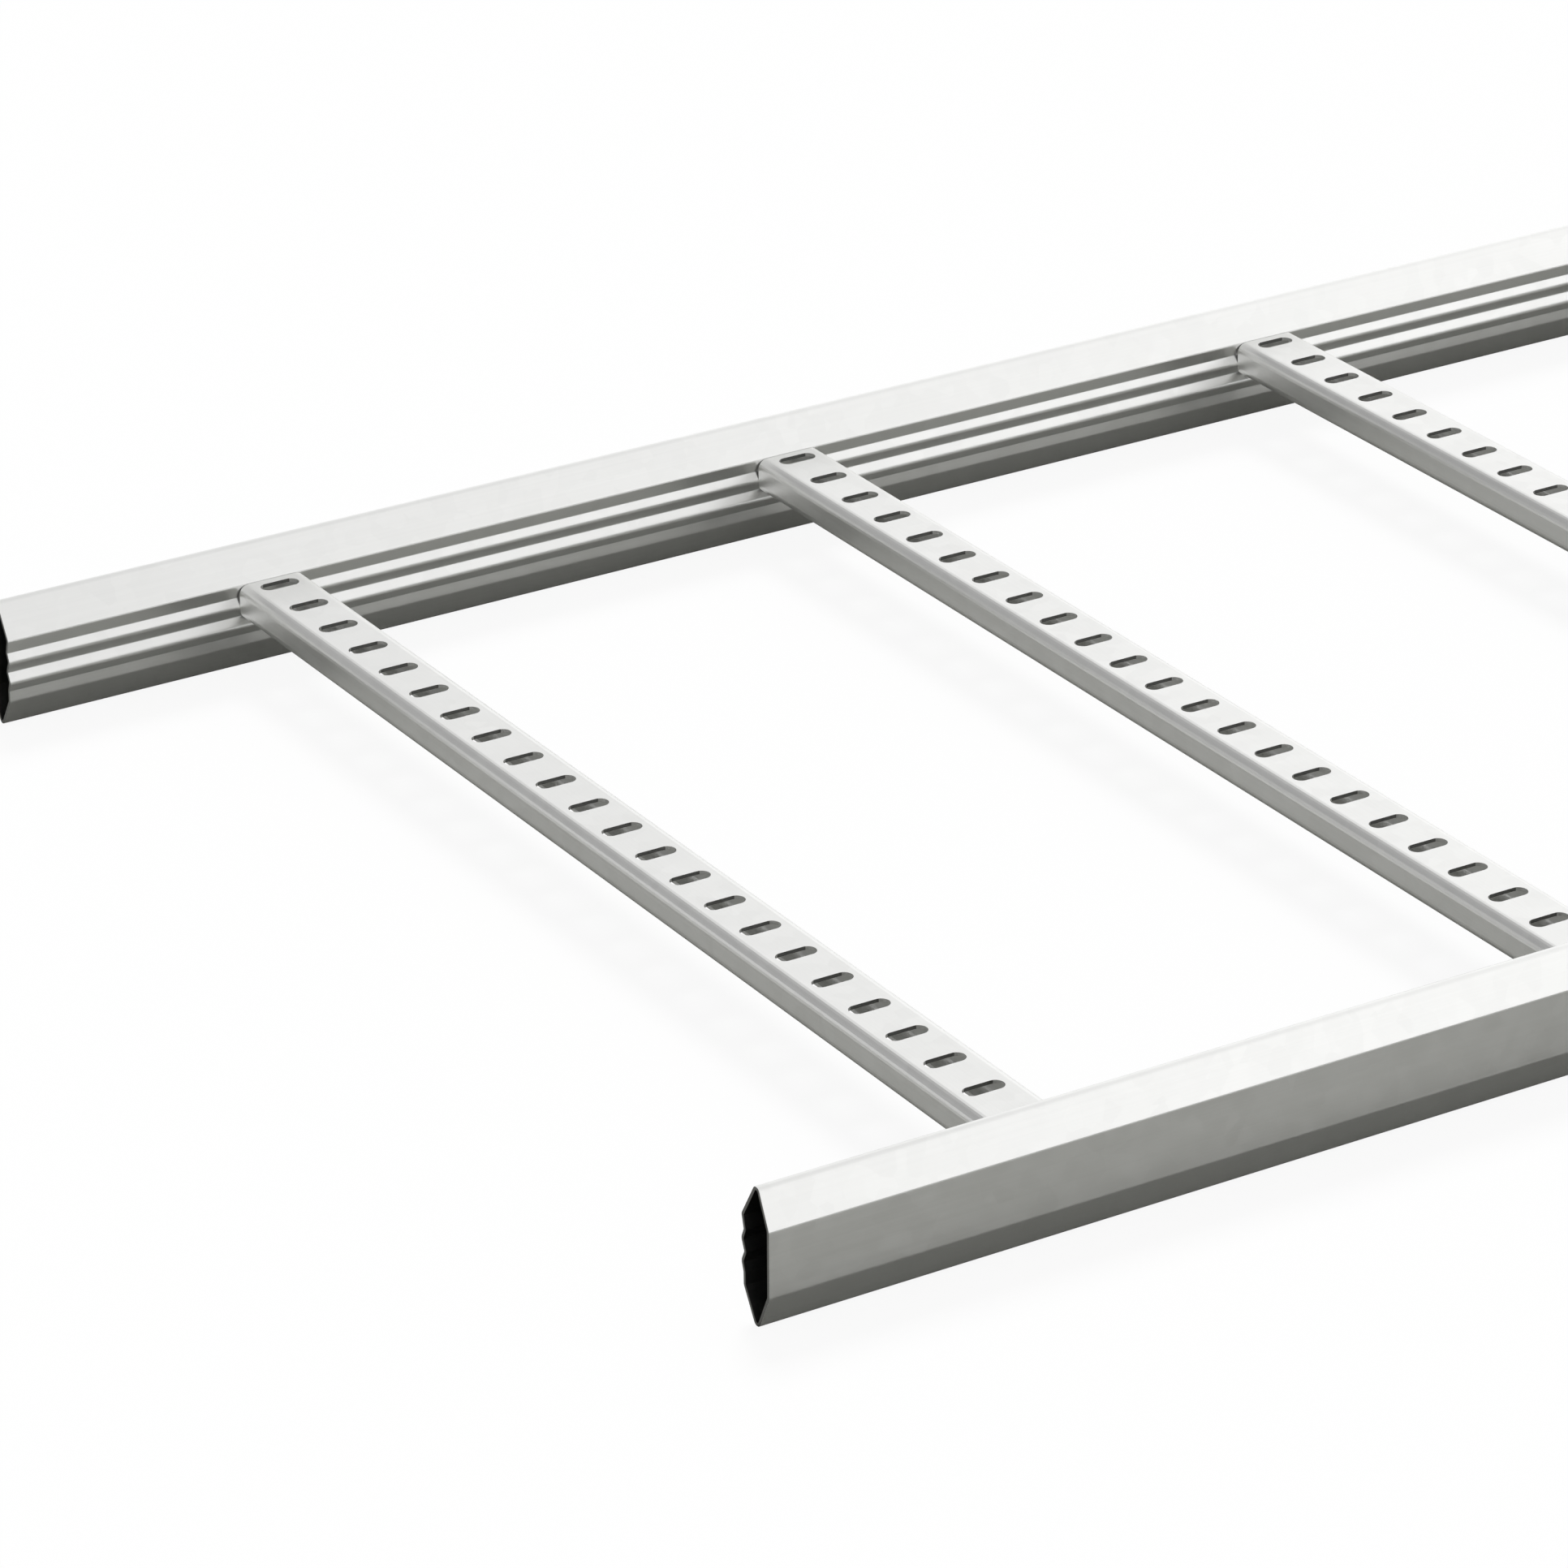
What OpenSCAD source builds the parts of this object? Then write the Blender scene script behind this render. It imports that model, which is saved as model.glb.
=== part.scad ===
// Cable ladder section: two hollow roll-formed side rails and a row of
// slotted C-profile rungs welded between them.
// The section lies flat. X runs along the rails, Y across them and Z up.
// The origin is on the floor, midway between the rails and at mid length.

/* [Section] */
// Overall width over the outer faces of the two rails
overall_width = 600; // [200:50:900]
// Number of rungs
rung_count = 12; // [2:1:24]
// Distance from one rung's middle to the next one's
rung_pitch = 250; // [150:10:400]
// Distance from the rails' -X ends to the middle of the first rung
start_length = 120; // [60:5:200]
// Distance from the middle of the last rung to the rails' +X ends
end_length = 130; // [60:5:200]

/* [Side rail] */
// Height of a rail, from its bottom crest to its top crest
rail_height = 54; // [50:1:70]
// Sheet thickness of a rail
rail_wall = 1.25; // [0.8:0.05:1.6]
// Distance from the crests' plane to the flat outer face
outer_bulge = 8; // [6:0.5:10]
// Distance from the crests' plane to the crowns of the inner ribs
inner_bulge = 9.8; // [9:0.2:11]
// Inside radius of every bend in a rail
rail_bend = 0.75; // [0.4:0.05:1]
// Width of the flat along the top crest and the bottom crest
crest_flat = 0.4; // [0.2:0.1:1]
// Angle of the outer slopes from upright, at the top and at the bottom
outer_slope = 25; // [23:0.5:30]
// Angle of the inner slopes from upright, at the top and at the bottom
inner_slope = 30.5; // [28:0.5:33]

/* [Inner ribs and grooves] */
// How far the lip over the upper groove stands back from the rib crowns
lip_setback = 0; // [0:0.1:1]
// Depth of the upper groove behind the lip
upper_groove_depth = 1.4; // [0.5:0.1:1.8]
// Depth of the groove between the ribs, behind their crowns
middle_groove_depth = 1.7; // [0.5:0.1:2.5]
// Width of the flat crown on each rib
rib_crown = 1.2; // [1:0.1:2]
// Distance from the lip down to the upper groove
groove_drop = 5.6; // [4.9:0.1:6.4]
// Distance from the lip down to the middle of the upper rib's crown
upper_rib_drop = 9.5; // [9:0.1:10]
// Distance from the lip down to the groove between the ribs
middle_groove_drop = 14.2; // [13.6:0.1:14.8]
// Distance from the lip down to the middle of the lower rib's crown
lower_rib_drop = 18.4; // [17.9:0.1:19.4]
// Distance from the lip down to the fold below the lower rib
fold_drop = 22.3; // [21.7:0.1:22.9]
// How far the fold stands back from the rib crowns
fold_setback = 1.1; // [0.6:0.1:1.6]
// How far the skirt below the fold stands back from the rib crowns
skirt_setback = 1.2; // [0.7:0.1:1.7]

/* [Rung] */
// Width of a rung along the rails
rung_width = 30; // [24:1:50]
// Height of a rung
rung_height = 15; // [12:0.5:18]
// Sheet thickness of a rung
rung_wall = 1.5; // [1:0.1:2]
// Inside radius of every bend in a rung
rung_bend = 2.5; // [1.5:0.1:3]
// Width of each lip turned in under a rung
rung_lip = 7; // [5:0.5:9]

/* [Slots] */
// Width of a slot, along the rung
slot_width = 7; // [4:0.5:10]
// Length of a slot from end to end, across the rung
slot_length = 17; // [12:0.5:18]
// Distance from one slot's middle to the next one's
slot_pitch = 25; // [15:1:50]
// Least metal left between a slot and the rung's end
slot_margin = 2; // [1:0.5:10]

/* [Hidden] */

// Largest turn that one flat of a bend takes, in degrees
arc_step = 15;
// Overshoot of a cut beyond the faces that it opens
cut = 1;
// Segments round a slot's end
slot_fn = 48;

rail_length = start_length + (rung_count - 1) * rung_pitch + end_length;
rail_offset = overall_width / 2 - outer_bulge;
tip_radius = rail_bend + rail_wall;
lip_bulge = inner_bulge - lip_setback;
lip_level = rail_height - slope_drop(lip_bulge, inner_slope);
rung_length = 2 * (rail_offset - inner_bulge);
rung_top = lip_level;
slot_room = rung_length - slot_width - 2 * slot_margin;
slot_count = floor(slot_room / slot_pitch) + 1;

// Name of the rung with this number
function rung_name(number) = str("rung_", number < 10 ? "0" : "", number);

// Height from a crest to where a slope that leaves its round reaches the given bulge
function slope_drop(bulge, slope) =
    tip_radius - tip_radius / sin(slope) + (bulge - crest_flat / 2) / tan(slope);

// Distance from the crests' plane to the sharp corner between a crest's flat and a slope
function crest_corner(slope) = crest_flat / 2 + tip_radius * tan((90 - slope) / 2);

// Sharp corners of a rail's outside, anticlockwise from the top crest.
// The first number of a point is its distance towards the ladder's middle, and the second its height.
function rail_corners() =
    let (outer_drop = slope_drop(outer_bulge, outer_slope),
         skirt = inner_bulge - skirt_setback)
    [[crest_corner(inner_slope), rail_height],
     [-crest_corner(outer_slope), rail_height],
     [-outer_bulge, rail_height - outer_drop],
     [-outer_bulge, outer_drop],
     [-crest_corner(outer_slope), 0],
     [crest_corner(inner_slope), 0],
     [skirt, slope_drop(skirt, inner_slope)],
     [inner_bulge - fold_setback, lip_level - fold_drop],
     [inner_bulge, lip_level - lower_rib_drop - rib_crown / 2],
     [inner_bulge, lip_level - lower_rib_drop + rib_crown / 2],
     [inner_bulge - middle_groove_depth, lip_level - middle_groove_drop],
     [inner_bulge, lip_level - upper_rib_drop - rib_crown / 2],
     [inner_bulge, lip_level - upper_rib_drop + rib_crown / 2],
     [lip_bulge - upper_groove_depth, lip_level - groove_drop],
     [lip_bulge, lip_level]];

// Sharp corners of a rung's outside, from the free edge of one lip round to the other's
function rung_corners() =
    let (half = rung_width / 2,
         bottom = rung_top - rung_height)
    [[-half + rung_lip, bottom],
     [-half, bottom],
     [-half, rung_top],
     [half, rung_top],
     [half, bottom],
     [half - rung_lip, bottom]];

function unit(v) = v / norm(v);
function left_of(v) = [-v[1], v[0]];
// Signed angle from one direction to the next, positive to the left
function turn(a, b) = atan2(a[0] * b[1] - a[1] * b[0], a * b);

// Points of one bend. The path a, b, c is the sheet's outside, and depth is how far inside
// it the wanted face lies. side is 1 where the sheet lies left of the path and -1 where right.
// A bend that closes round the sheet gets the inside radius on its inner face, and one that
// opens away from the sheet gets it on its outer face.
function bend(a, b, c, depth, wall, radius, side) =
    let (arrive = unit(b - a),
         leave = unit(c - b),
         angle = turn(arrive, leave),
         closing = angle * side > 0,
         path_radius = closing ? radius + wall : radius,
         sense = sign(angle),
         centre = b - arrive * path_radius * tan(abs(angle) / 2) + sense * left_of(arrive) * path_radius,
         face_radius = closing ? path_radius - depth : path_radius + depth,
         steps = max(1, ceil(abs(angle) / arc_step)))
    [for (i = [0 : steps])
        let (t = angle * i / steps,
             heading = [arrive[0] * cos(t) - arrive[1] * sin(t), arrive[0] * sin(t) + arrive[1] * cos(t)])
        centre - sense * face_radius * left_of(heading)];

// One face of a closed sheet whose outside has these corners, anticlockwise
function closed_face(corners, depth, wall, radius) =
    let (n = len(corners))
    [for (i = [0 : n - 1])
        each bend(corners[(i + n - 1) % n], corners[i], corners[(i + 1) % n], depth, wall, radius, 1)];

// One face of an open sheet whose outside has these corners, clockwise
function open_face(corners, depth, wall, radius) =
    let (last = len(corners) - 1,
         first_side = left_of(unit(corners[1] - corners[0])),
         last_side = left_of(unit(corners[last] - corners[last - 1])))
    concat([corners[0] - depth * first_side],
           [for (i = [1 : last - 1])
               each bend(corners[i - 1], corners[i], corners[i + 1], depth, wall, radius, -1)],
           [corners[last] - depth * last_side]);

function reversed(points) = [for (i = [len(points) - 1 : -1 : 0]) points[i]];

module rail_section() {
    difference() {
        polygon(closed_face(rail_corners(), 0, rail_wall, rail_bend));
        polygon(closed_face(rail_corners(), rail_wall, rail_wall, rail_bend));
    }
}

module rung_section() {
    polygon(concat(open_face(rung_corners(), 0, rung_wall, rung_bend),
                   reversed(open_face(rung_corners(), rung_wall, rung_wall, rung_bend))));
}

// One rail with its grooved face towards -Y and the crests at Y = 0
module rail() {
    translate([-rail_length / 2, 0, 0])
        rotate([90, 0, 90])
            linear_extrude(height = rail_length)
                mirror([1, 0])
                    rail_section();
}

// One obround slot, cut down through a rung's top
module slot() {
    reach = (slot_length - slot_width) / 2;
    depth = rung_wall + 2 * cut;
    translate([0, 0, rung_top - rung_wall - cut]) {
        for (side = [-1, 1])
            translate([side * reach, 0, 0])
                cylinder(d = slot_width, h = depth, $fn = slot_fn);
        translate([-reach, -slot_width / 2, 0])
            cube([2 * reach, slot_width, depth]);
    }
}

// One rung with its middle at X = 0
module rung() {
    difference() {
        translate([0, rung_length / 2, 0])
            rotate([90, 0, 0])
                linear_extrude(height = rung_length)
                    rung_section();
        for (i = [0 : slot_count - 1])
            translate([0, (i - (slot_count - 1) / 2) * slot_pitch, 0])
                slot();
    }
}

module rail_near() {
    color("silver") mirror([0, 1, 0]) translate([0, rail_offset, 0]) rail();
}

module rail_far() {
    color("silver") translate([0, rail_offset, 0]) rail();
}

// The rung with this number, counted from 1 at the -X end
module rung_at(number) {
    color("gainsboro")
        translate([start_length + (number - 1) * rung_pitch - rail_length / 2, 0, 0])
            rung();
}

rail_near();
rail_far();
for (i = [1 : rung_count])
    rung_at(i);
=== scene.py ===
"""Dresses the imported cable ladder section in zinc-coated steel and sets it on a pale studio floor.

The rails and the rungs keep their own shape. Each group gets a procedural finish that follows the
way its steel was rolled, and the stage adds the floor, the light and the camera.
"""

import math

import bpy
from bpy.props import FloatProperty, FloatVectorProperty, PointerProperty
from mathutils import Matrix, Vector


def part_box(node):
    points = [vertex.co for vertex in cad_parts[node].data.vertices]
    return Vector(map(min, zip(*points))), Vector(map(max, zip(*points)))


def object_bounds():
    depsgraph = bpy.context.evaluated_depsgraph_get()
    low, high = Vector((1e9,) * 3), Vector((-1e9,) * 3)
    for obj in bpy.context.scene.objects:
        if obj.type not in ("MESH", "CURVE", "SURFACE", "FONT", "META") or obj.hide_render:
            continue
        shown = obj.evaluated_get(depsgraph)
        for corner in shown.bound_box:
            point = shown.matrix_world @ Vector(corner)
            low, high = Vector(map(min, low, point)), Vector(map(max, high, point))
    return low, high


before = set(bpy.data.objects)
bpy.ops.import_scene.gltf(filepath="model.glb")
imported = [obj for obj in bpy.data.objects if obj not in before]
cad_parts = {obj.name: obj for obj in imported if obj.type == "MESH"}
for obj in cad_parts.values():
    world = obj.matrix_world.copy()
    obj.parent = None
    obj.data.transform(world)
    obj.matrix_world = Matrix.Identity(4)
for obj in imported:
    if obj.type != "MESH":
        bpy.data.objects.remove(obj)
CAD_LOW, CAD_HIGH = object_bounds()

bl_info = {
    "name": "Cable ladder section",
    "version": (1, 0, 0),
    "blender": (4, 5, 0),
    "location": "3D View > Sidebar > Ladder",
    "description": "Finishes a cable ladder section and sets up its studio",
    "category": "Object",
}

RAILS = sorted(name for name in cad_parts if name.startswith("rail"))
RUNGS = sorted(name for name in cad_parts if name.startswith("rung"))

# Axes, as the places of x and y in a vector
X_AXIS, Y_AXIS = 0, 1


# ---------------------------------------------------------------- settings


class FinishSettings(bpy.types.PropertyGroup):
    """Colours and grain of the zinc-coated steel."""

    rail_colour: FloatVectorProperty(
        name="Rail colour", description="Reflecting colour of the rails' zinc coat",
        subtype="COLOR", size=3, min=0.0, max=1.0, default=(0.93, 0.932, 0.918))
    rung_colour: FloatVectorProperty(
        name="Rung colour", description="Reflecting colour of the rungs' zinc coat",
        subtype="COLOR", size=3, min=0.0, max=1.0, default=(0.93, 0.932, 0.918))
    rail_blur: FloatProperty(
        name="Rail blur", description="Roughness of the rails' smooth-rolled zinc",
        subtype="FACTOR", min=0.05, max=1.0, default=0.31)
    rung_blur: FloatProperty(
        name="Rung blur", description="Roughness of the rungs' duller zinc",
        subtype="FACTOR", min=0.05, max=1.0, default=0.39)
    spangle: FloatProperty(
        name="Spangle size", description="Width of one zinc crystal",
        subtype="DISTANCE", unit="LENGTH", min=0.001, max=0.05, default=0.007)
    streak: FloatProperty(
        name="Streak width", description="Width of one drawn line left by the rolls",
        subtype="DISTANCE", unit="LENGTH", min=0.0002, max=0.01, default=0.0012)
    # Painted shade: the inside of a rail is coloured darker, standing in for the shade in its hollow
    bore_shade_tone: FloatProperty(
        name="Bore tone", description="Tone of the dull inside of a rail, against its outside",
        subtype="FACTOR", min=0.0, max=1.0, default=0.25)
    # Partly bare steel and partly painted shade: cut faces are darkened so the rail ends read dark
    cut_and_shade_tone: FloatProperty(
        name="Cut tone",
        description="Tone of the sawn ends and punched edges, against the coated sheet",
        subtype="FACTOR", min=0.0, max=1.0, default=0.3)


class StudioSettings(bpy.types.PropertyGroup):
    """Floor, light and camera."""

    floor_colour: FloatVectorProperty(
        name="Floor colour", description="Colour of the floor as the camera sees it",
        subtype="COLOR", size=3, min=0.0, max=1.0, default=(0.93, 0.93, 0.93))
    floor_glow: FloatProperty(
        name="Floor glow",
        description="Share of the seen floor that is plain white, to keep shadows faint",
        subtype="FACTOR", min=0.0, max=1.0, default=0.9)
    floor_bounce: FloatVectorProperty(
        name="Floor bounce",
        description="Colour of the floor's own bounce, below what the metal mirrors of it",
        subtype="COLOR", size=3, min=0.0, max=1.0, default=(0.08, 0.082, 0.062))
    floor_mirrored: FloatProperty(
        name="Floor mirrored",
        description="How far the metal mirrors the floor's pale colour over its bounce",
        subtype="FACTOR", min=0.0, max=1.0, default=0.21)
    sky: FloatProperty(
        name="Bright sky",
        description="Strength of the sky that the metal mirrors, low beyond the +X ends",
        min=0.0, max=2.0, default=1.13)
    sky_dim: FloatProperty(
        name="Dim sky", description="Strength of the rest of the sky that the metal mirrors",
        min=0.0, max=2.0, default=0.67)
    sky_shade: FloatProperty(
        name="Sky shade",
        description="How much of the mirrored sky is taken away beyond the far rail's -X end",
        subtype="FACTOR", min=0.0, max=1.0, default=0.55)
    fill: FloatProperty(
        name="Fill", description="Strength of the even light on the floor",
        min=0.0, max=2.0, default=0.56)
    key: FloatProperty(
        name="Key", description="Strength of the lamp that lays the shadows on the floor",
        min=0.0, max=10.0, default=1.8)
    azimuth: FloatProperty(
        name="Azimuth", description="Camera's turn round the section from straight in front",
        subtype="ANGLE", unit="ROTATION", default=math.radians(-31.7426))
    elevation: FloatProperty(
        name="Elevation", description="Camera's height above the horizon",
        subtype="ANGLE", unit="ROTATION", default=math.radians(25.2276))
    roll: FloatProperty(
        name="Roll", description="Camera's tilt about its own axis",
        subtype="ANGLE", unit="ROTATION", default=math.radians(0.2621))
    distance: FloatProperty(
        name="Distance", description="Camera's distance from the point that it looks at",
        subtype="DISTANCE", unit="LENGTH", min=0.5, max=20.0, default=2.7349)
    lens: FloatProperty(
        name="Lens", description="Focal length on a 36 mm wide sensor, in millimetres",
        min=20.0, max=400.0, default=161.336)


# ---------------------------------------------------------------- shader helpers

# Sockets of a Mix node that is set to colours
COLOUR_A, COLOUR_B, COLOUR_RESULT = 6, 7, 2


def blank_nodes(owner):
    """The emptied node tree of a new material or world."""
    owner.use_nodes = True
    owner.node_tree.nodes.clear()
    return owner.node_tree


def add_node(tree, kind, **sockets):
    """A new node with some of its inputs set. An input's name has _ for each space."""
    node = tree.nodes.new(kind)
    for name, value in sockets.items():
        node.inputs[name.replace("_", " ")].default_value = value
    return node


def compute(tree, operation, *values):
    """Result of a Math node. Each value is a number or another node's output."""
    node = tree.nodes.new("ShaderNodeMath")
    node.operation = operation
    for socket, value in zip(node.inputs, values):
        if isinstance(value, bpy.types.NodeSocket):
            tree.links.new(value, socket)
        else:
            socket.default_value = value
    return node.outputs["Value"]


def remap(tree, value, low, high, edges=(0.0, 1.0), ease="LINEAR"):
    """Value between the two edges spread over low to high, and held at them outside."""
    node = add_node(tree, "ShaderNodeMapRange", From_Min=edges[0], From_Max=edges[1],
                    To_Min=low, To_Max=high)
    node.interpolation_type = ease
    tree.links.new(value, node.inputs["Value"])
    return node.outputs["Result"]


def fade(tree, value, low, high, edges):
    """As remap, and eased at both edges."""
    return remap(tree, value, low, high, edges, ease="SMOOTHSTEP")


def split(tree, vector):
    """The x, y and z outputs of a vector."""
    node = tree.nodes.new("ShaderNodeSeparateXYZ")
    tree.links.new(vector, node.inputs["Vector"])
    return node.outputs["X"], node.outputs["Y"], node.outputs["Z"]


def towards(tree, direction, aim):
    """How far a direction points along the aim, as their dot product."""
    node = tree.nodes.new("ShaderNodeVectorMath")
    node.operation = "DOT_PRODUCT"
    node.inputs[1].default_value = aim
    tree.links.new(direction, node.inputs[0])
    return node.outputs["Value"]


def blend_shaders(tree, share, first, second):
    """The first shader at share 0, turning into the second at share 1."""
    node = tree.nodes.new("ShaderNodeMixShader")
    for source, socket in zip((share, first, second), node.inputs):
        tree.links.new(source, socket)
    return node.outputs["Shader"]


# ---------------------------------------------------------------- finish

# Tone of the metal from the darkest to the lightest crystal, cloud and streak
CRYSTAL_TONE = (0.985, 1.01)
CLOUD_TONE = (0.98, 1.02)
STREAK_TONE = (0.97, 1.03)
# How far the roughness swings either way from crystal to crystal, and across the streaks
CRYSTAL_BLUR, STREAK_BLUR = 0.02, 0.03
# Clouds and streak ends for each metre
CLOUDS_PER_METRE, STREAKS_PER_METRE = 9.0, 3.0
# Strength of the streaks' relief, and its depth in metres
RELIEF, RELIEF_DEPTH = 0.12, 0.0002
# A rail's face is its inside where the product in bore_shade_mask, in metres, falls below this
BORE_LIMIT = -0.0005
# A face is cut square where this much of its normal lies along the piece
CUT_LIMIT = 0.95


def middle_of(name):
    """Middle of a node's box."""
    low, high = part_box(name)
    return (Vector(low) + Vector(high)) / 2


def bore_shade_mask(tree, place, normal):
    """1 on the inside of either rail, where painted shade goes, and 0 elsewhere. Across a rail's
    section the outside faces away from its axis and the inside towards it, so the sign of normal
    times arm parts them."""
    axis = middle_of(RAILS[0])
    _, y, z = split(tree, place)
    _, ny, nz = split(tree, normal)
    arm_y = compute(tree, "SUBTRACT", compute(tree, "ABSOLUTE", y), abs(axis.y))
    facing_y = compute(tree, "MULTIPLY", ny, compute(tree, "SIGN", y))
    arm_z = compute(tree, "SUBTRACT", z, axis.z)
    facing = compute(tree, "ADD", compute(tree, "MULTIPLY", arm_y, facing_y),
                     compute(tree, "MULTIPLY", arm_z, nz))
    return compute(tree, "LESS_THAN", facing, BORE_LIMIT)


def cut_and_shade_mask(tree, normal, along):
    """1 on faces cut square across a piece that runs along this axis, such as its sawn ends, where
    darker bare steel and painted shade go.
    """
    facing = compute(tree, "ABSOLUTE", split(tree, normal)[along])
    return compute(tree, "GREATER_THAN", facing, CUT_LIMIT)


def crystals(tree, place, finish):
    """Two random values, each the same all over one crystal of the zinc."""
    cells = add_node(tree, "ShaderNodeTexVoronoi", Scale=1.0 / finish.spangle, Randomness=1.0)
    tree.links.new(place, cells.inputs["Vector"])
    channels = tree.nodes.new("ShaderNodeSeparateColor")
    tree.links.new(cells.outputs["Color"], channels.inputs["Color"])
    return channels.outputs["Red"], channels.outputs["Green"]


def clouds(tree, place):
    """Slow even noise."""
    noise = add_node(tree, "ShaderNodeTexNoise", Scale=CLOUDS_PER_METRE, Detail=3.0, Roughness=0.5)
    tree.links.new(place, noise.inputs["Vector"])
    return noise.outputs["Fac"]


def streaks(tree, place, finish, along):
    """Noise that is fine across the piece and drawn out along this axis."""
    stretch = [1.0 / finish.streak] * 3
    stretch[along] = STREAKS_PER_METRE
    drawn = add_node(tree, "ShaderNodeMapping", Scale=stretch)
    tree.links.new(place, drawn.inputs["Vector"])
    noise = add_node(tree, "ShaderNodeTexNoise", Scale=1.0, Detail=2.0, Roughness=0.6)
    tree.links.new(drawn.outputs["Vector"], noise.inputs["Vector"])
    return noise.outputs["Fac"]


def toned(tree, colour, tone):
    """The colour times a grey tone."""
    grey = tree.nodes.new("ShaderNodeCombineColor")
    for channel in ("Red", "Green", "Blue"):
        tree.links.new(tone, grey.inputs[channel])
    tint = add_node(tree, "ShaderNodeMix", Factor=1.0)
    tint.data_type = "RGBA"
    tint.blend_type = "MULTIPLY"
    tint.inputs[COLOUR_A].default_value = (*colour, 1.0)
    tree.links.new(grey.outputs["Color"], tint.inputs[COLOUR_B])
    return tint.outputs[COLOUR_RESULT]


def zinc(name, colour, roughness, finish, along):
    """Zinc-coated sheet. Crystals give small flat changes of tone, clouds give slow ones, and the
    rolls leave fine streaks along the axis that the piece runs in. Cut faces are darker, partly for
    bare steel and partly as painted shade, and the inside of a rail is darker as painted shade."""
    material = bpy.data.materials.new(name)
    tree = blank_nodes(material)
    coordinates = tree.nodes.new("ShaderNodeTexCoord")
    place, normal = coordinates.outputs["Object"], coordinates.outputs["Normal"]
    crystal_tone, crystal_blur = crystals(tree, place, finish)
    streak = streaks(tree, place, finish, along)

    tones = [remap(tree, crystal_tone, *CRYSTAL_TONE),
             remap(tree, clouds(tree, place), *CLOUD_TONE),
             remap(tree, streak, *STREAK_TONE),
             # Partly bare steel and partly painted shade: cut faces darkened so the sawn ends read
             # dark
             remap(tree, cut_and_shade_mask(tree, normal, along), 1.0, finish.cut_and_shade_tone)]
    if along == X_AXIS:
        # Painted shade: the inside of each rail is darkened, as the shade in its hollow
        tones.append(remap(tree, bore_shade_mask(tree, place, normal), 1.0, finish.bore_shade_tone))
    tone = tones[0]
    for other in tones[1:]:
        tone = compute(tree, "MULTIPLY", tone, other)

    blur = compute(tree, "ADD",
                   remap(tree, crystal_blur, roughness - CRYSTAL_BLUR, roughness + CRYSTAL_BLUR),
                   remap(tree, streak, -STREAK_BLUR, STREAK_BLUR))

    relief = add_node(tree, "ShaderNodeBump", Strength=RELIEF, Distance=RELIEF_DEPTH)
    tree.links.new(streak, relief.inputs["Height"])

    surface = add_node(tree, "ShaderNodeBsdfPrincipled", Metallic=1.0)
    tree.links.new(toned(tree, colour, tone), surface.inputs["Base Color"])
    tree.links.new(blur, surface.inputs["Roughness"])
    tree.links.new(relief.outputs["Normal"], surface.inputs["Normal"])
    output = tree.nodes.new("ShaderNodeOutputMaterial")
    tree.links.new(surface.outputs["BSDF"], output.inputs["Surface"])
    return material


def dress(names, material):
    """Gives these nodes the material in every slot."""
    for name in names:
        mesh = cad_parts[name].data
        if not mesh.materials:
            mesh.materials.append(material)
        for index in range(len(mesh.materials)):
            mesh.materials[index] = material


# ---------------------------------------------------------------- stage materials

# The floor's painted sheen: a mirrored ray grazes the floor from this facing on, and wholly at the
# second one, and the floor's colour turns pale there
PAINTED_SHEEN_EDGES = (0.72, 0.82)
# Where the sky that the metal mirrors is brightest, low beyond the +X ends, and how it fades there
BRIGHT_AIM = (0.97, 0.0, -0.24)
BRIGHT_EDGES = (0.1, 0.5)
# The middle of the shade in that sky, beyond the far rail's -X end, and how it deepens there
SHADE_AIM = (-0.45, 0.77, 0.45)
SHADE_EDGES = (0.66, 0.90)
# The shade stops between these values of y, so that the far rail's outer slopes stay light
SHADE_STOP = (0.82, 0.90)
WHITE = (1.0, 1.0, 1.0, 1.0)


def seen_rays(tree):
    """Outputs that are 1 for rays from the camera or through glass, and for mirrored rays."""
    rays = tree.nodes.new("ShaderNodeLightPath").outputs
    seen = compute(tree, "MAXIMUM", rays["Is Camera Ray"], rays["Is Transmission Ray"])
    return seen, rays["Is Glossy Ray"]


def floor_paint(studio):
    """Plain floor with a slight painted sheen, clear from below. The camera sees its pale colour
    with a faint shadow. The metal mirrors a share of that colour over the floor's own bounce, and
    all of it where the mirrored ray only grazes the floor, which is a painted sheen."""
    material = bpy.data.materials.new("studio_floor")
    tree = blank_nodes(material)
    seen, mirrored = seen_rays(tree)
    facing = add_node(tree, "ShaderNodeLayerWeight", Blend=0.5).outputs["Facing"]
    # Painted sheen: the mirrored floor colour turns pale where the ray grazes the floor
    share = fade(tree, facing, studio.floor_mirrored, 1.0, PAINTED_SHEEN_EDGES)
    pale = compute(tree, "MAXIMUM", seen, compute(tree, "MULTIPLY", mirrored, share))
    paint = tree.nodes.new("ShaderNodeMix")
    paint.data_type = "RGBA"
    tree.links.new(pale, paint.inputs["Factor"])
    paint.inputs[COLOUR_A].default_value = (*studio.floor_bounce, 1.0)
    paint.inputs[COLOUR_B].default_value = (*studio.floor_colour, 1.0)
    matt = tree.nodes.new("ShaderNodeBsdfDiffuse")
    tree.links.new(paint.outputs[COLOUR_RESULT], matt.inputs["Color"])
    glow = add_node(tree, "ShaderNodeEmission", Color=WHITE, Strength=1.0)
    top = blend_shaders(tree, compute(tree, "MULTIPLY", seen, studio.floor_glow),
                        matt.outputs["BSDF"], glow.outputs["Emission"])
    both = blend_shaders(tree, tree.nodes.new("ShaderNodeNewGeometry").outputs["Backfacing"],
                         top, tree.nodes.new("ShaderNodeBsdfTransparent").outputs["BSDF"])
    output = tree.nodes.new("ShaderNodeOutputMaterial")
    tree.links.new(both, output.inputs["Surface"])
    return material


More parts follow.
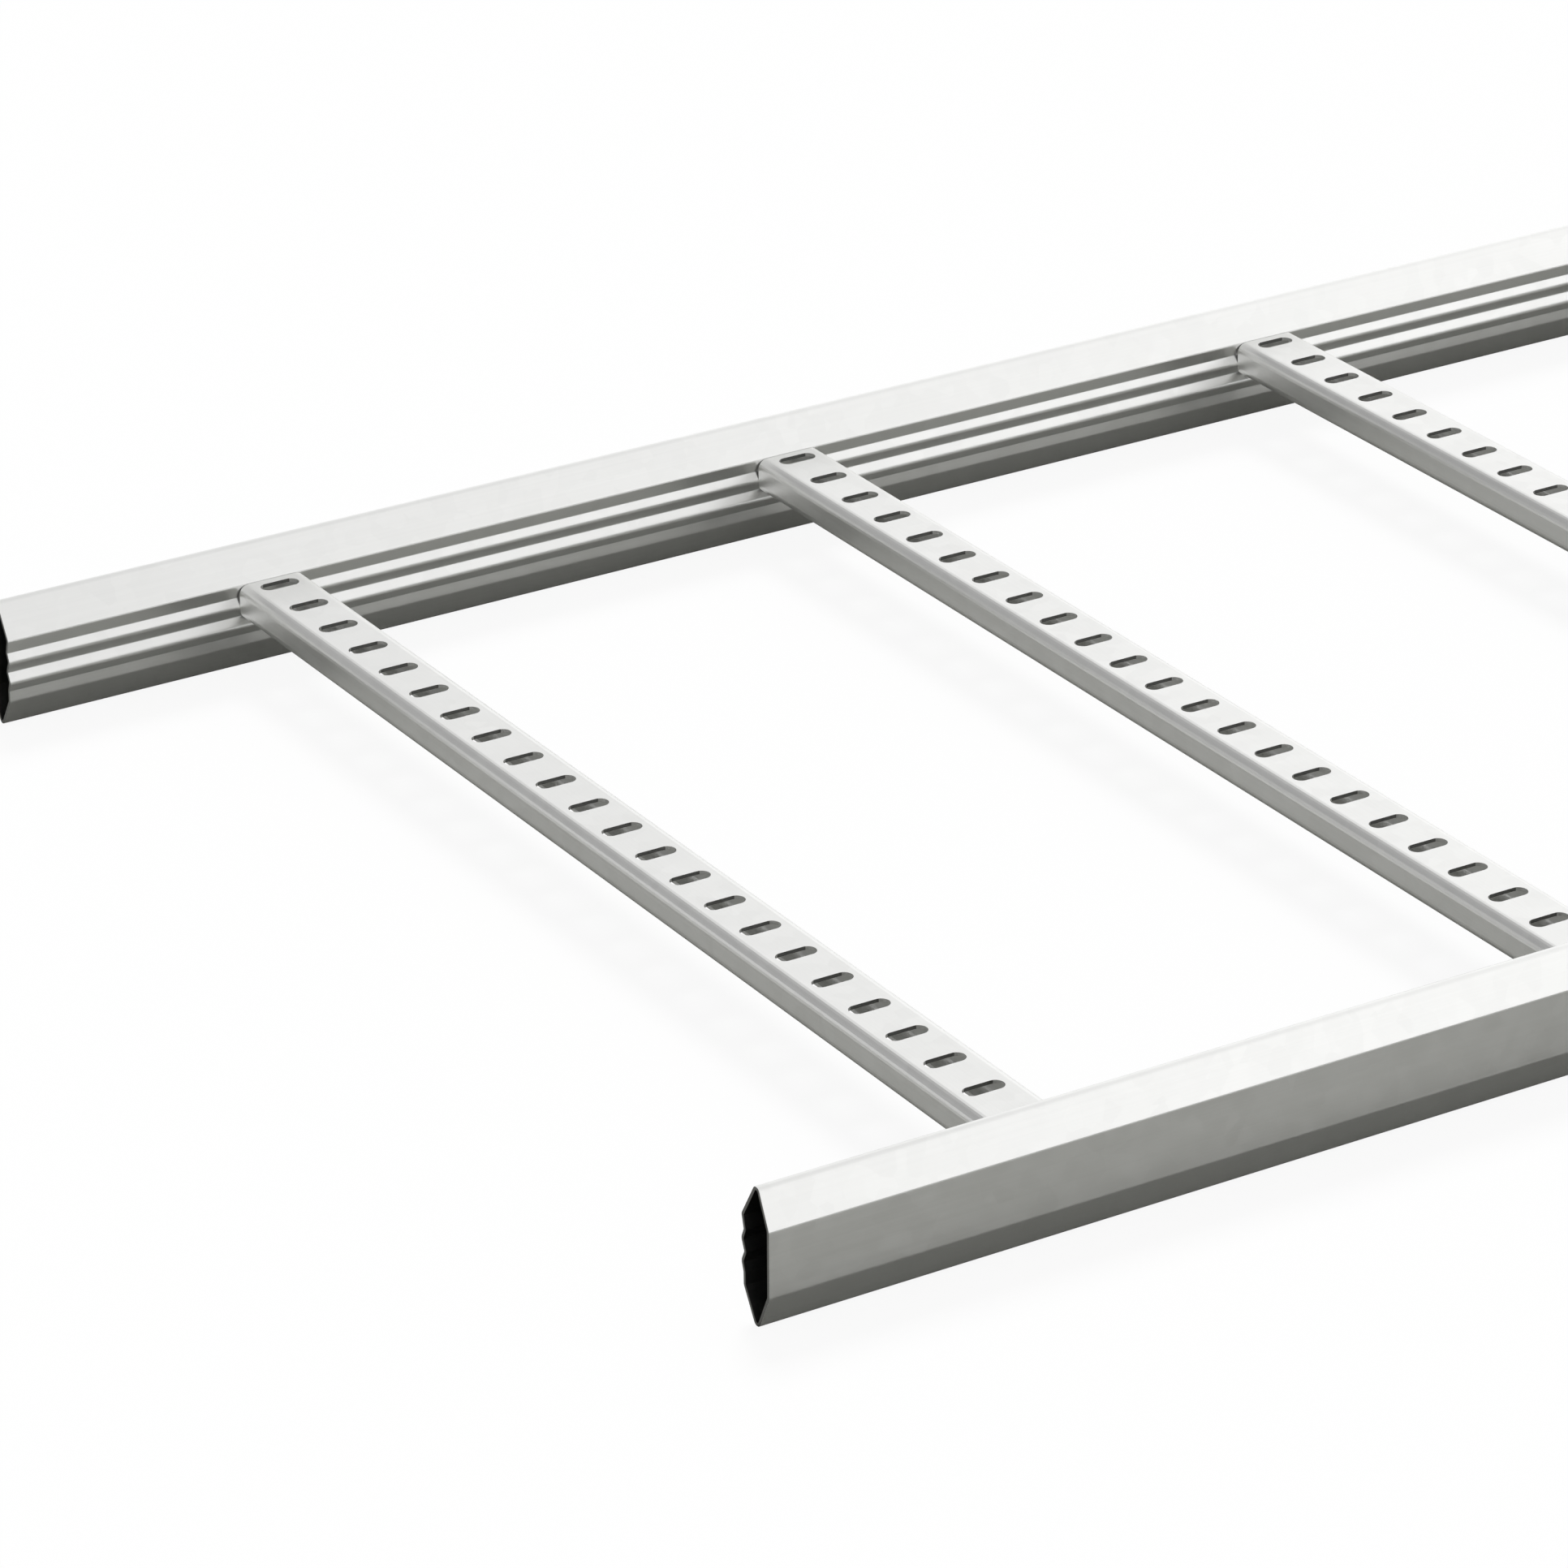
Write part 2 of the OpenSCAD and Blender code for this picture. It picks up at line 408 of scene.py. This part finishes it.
def sky_light(studio):
    """World that is white to the camera and an even fill on the floor. The sky that the metal
    mirrors fades smoothly from dim to bright towards one aim, and has a shade round another."""
    world = bpy.data.worlds.new("studio_sky")
    tree = blank_nodes(world)
    direction = tree.nodes.new("ShaderNodeTexCoord").outputs["Generated"]
    to_bright, to_shade = towards(tree, direction, BRIGHT_AIM), towards(tree, direction, SHADE_AIM)
    open_sky = fade(tree, to_bright, studio.sky_dim, studio.sky, BRIGHT_EDGES)
    shade = compute(tree, "MULTIPLY",
                    fade(tree, to_shade, 0.0, studio.sky_shade, SHADE_EDGES),
                    fade(tree, split(tree, direction)[Y_AXIS], 1.0, 0.0, SHADE_STOP))
    metal_sky = compute(tree, "MULTIPLY", open_sky, compute(tree, "SUBTRACT", 1.0, shade))
    seen, mirrored = seen_rays(tree)
    unmirrored = compute(tree, "SUBTRACT", 1.0, mirrored)
    strength = compute(tree, "ADD", compute(tree, "MULTIPLY", mirrored, metal_sky),
                       compute(tree, "MULTIPLY", unmirrored, studio.fill))
    sky = add_node(tree, "ShaderNodeBackground", Color=WHITE)
    tree.links.new(compute(tree, "MAXIMUM", seen, strength), sky.inputs["Strength"])
    output = tree.nodes.new("ShaderNodeOutputWorld")
    tree.links.new(sky.outputs["Background"], output.inputs["Surface"])
    return world


# ---------------------------------------------------------------- operators


class LADDER_OT_rails(bpy.types.Operator):
    """Finish the two side rails."""

    bl_idname = "ladder.rails"
    bl_label = "Finish the rails"

    def execute(self, context):
        finish = context.scene.ladder_finish
        dress(RAILS, zinc("rail_zinc", finish.rail_colour, finish.rail_blur, finish, along=X_AXIS))
        return {"FINISHED"}


class LADDER_OT_rungs(bpy.types.Operator):
    """Finish the rungs."""

    bl_idname = "ladder.rungs"
    bl_label = "Finish the rungs"

    def execute(self, context):
        finish = context.scene.ladder_finish
        dress(RUNGS, zinc("rung_zinc", finish.rung_colour, finish.rung_blur, finish, along=Y_AXIS))
        return {"FINISHED"}


class LADDER_OT_stage(bpy.types.Operator):
    """Build the floor, the light and the camera."""

    bl_idname = "ladder.stage"
    bl_label = "Set the stage"

    # Half the floor's width, and how far it lies below the part, in metres
    FLOOR_REACH = 12.0
    FLOOR_DROP = 0.0003
    # The point that the camera looks at: metres from the -X ends, and to the far side of the middle
    END_INSET = 0.2073
    SIDE_SHIFT = 0.0240
    # Where the key lamp stands, and how wide it looks
    KEY_FROM = (0.265, 0.459, 0.848)
    KEY_SPREAD = math.radians(20.0)
    # Width of the camera's sensor in millimetres, and the span that it sees in metres
    SENSOR_WIDTH = 36.0
    CLIP_NEAR, CLIP_FAR = 0.05, 100.0

    def execute(self, context):
        studio = context.scene.ladder_studio
        self.add_floor(context, studio)
        self.add_light(context, studio)
        self.add_camera(context, studio)
        return {"FINISHED"}

    def add_floor(self, context, studio):
        reach, level = self.FLOOR_REACH, CAD_LOW.z - self.FLOOR_DROP
        corners = [(-reach, -reach, level), (reach, -reach, level),
                   (reach, reach, level), (-reach, reach, level)]
        mesh = bpy.data.meshes.new("studio_floor")
        mesh.from_pydata(corners, [], [(0, 1, 2, 3)])
        mesh.materials.append(floor_paint(studio))
        floor = bpy.data.objects.new("studio_floor", mesh)
        context.scene.collection.objects.link(floor)

    def add_light(self, context, studio):
        context.scene.world = sky_light(studio)
        sun = bpy.data.lights.new("studio_key", "SUN")
        sun.energy = studio.key
        sun.angle = self.KEY_SPREAD
        lamp = bpy.data.objects.new("studio_key", sun)
        lamp.rotation_euler = Vector(self.KEY_FROM).to_track_quat("Z", "Y").to_euler()
        lamp.visible_glossy = False
        context.scene.collection.objects.link(lamp)

    def add_camera(self, context, studio):
        target = Vector((CAD_LOW.x + self.END_INSET, self.SIDE_SHIFT, (CAD_LOW.z + CAD_HIGH.z) / 2))
        back = Vector((math.sin(studio.azimuth) * math.cos(studio.elevation),
                       -math.cos(studio.azimuth) * math.cos(studio.elevation),
                       math.sin(studio.elevation)))
        lens = bpy.data.cameras.new("studio_camera")
        lens.lens = studio.lens
        lens.sensor_width = self.SENSOR_WIDTH
        lens.clip_start, lens.clip_end = self.CLIP_NEAR, self.CLIP_FAR
        camera = bpy.data.objects.new("studio_camera", lens)
        context.scene.collection.objects.link(camera)
        aim = (-back).to_track_quat("-Z", "Y").to_matrix().to_4x4()
        tilt = Matrix.Rotation(-studio.roll, 4, "Z")
        camera.matrix_world = Matrix.Translation(target + back * studio.distance) @ aim @ tilt
        context.scene.camera = camera


class LADDER_PT_panel(bpy.types.Panel):
    """Lists the section's settings and operators."""

    bl_idname = "LADDER_PT_panel"
    bl_label = "Cable ladder section"
    bl_space_type = "VIEW_3D"
    bl_region_type = "UI"
    bl_category = "Ladder"

    def draw(self, context):
        self.list_settings(context.scene.ladder_finish)
        self.layout.operator("ladder.rails")
        self.layout.operator("ladder.rungs")
        self.list_settings(context.scene.ladder_studio)
        self.layout.operator("ladder.stage")

    def list_settings(self, settings):
        for name in settings.bl_rna.properties.keys():
            if name not in {"rna_type", "name"}:
                self.layout.prop(settings, name)


CLASSES = (FinishSettings, StudioSettings,
           LADDER_OT_rails, LADDER_OT_rungs, LADDER_OT_stage, LADDER_PT_panel)


def register():
    for cls in CLASSES:
        bpy.utils.register_class(cls)
    bpy.types.Scene.ladder_finish = PointerProperty(type=FinishSettings)
    bpy.types.Scene.ladder_studio = PointerProperty(type=StudioSettings)


def unregister():
    del bpy.types.Scene.ladder_studio
    del bpy.types.Scene.ladder_finish
    for cls in reversed(CLASSES):
        bpy.utils.unregister_class(cls)


def main():
    """Registers the add-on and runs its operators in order."""
    register()
    bpy.context.scene.view_settings.view_transform = "Standard"
    bpy.ops.ladder.rails()
    bpy.ops.ladder.rungs()
    bpy.ops.ladder.stage()


if __name__ == "__main__":
    main()
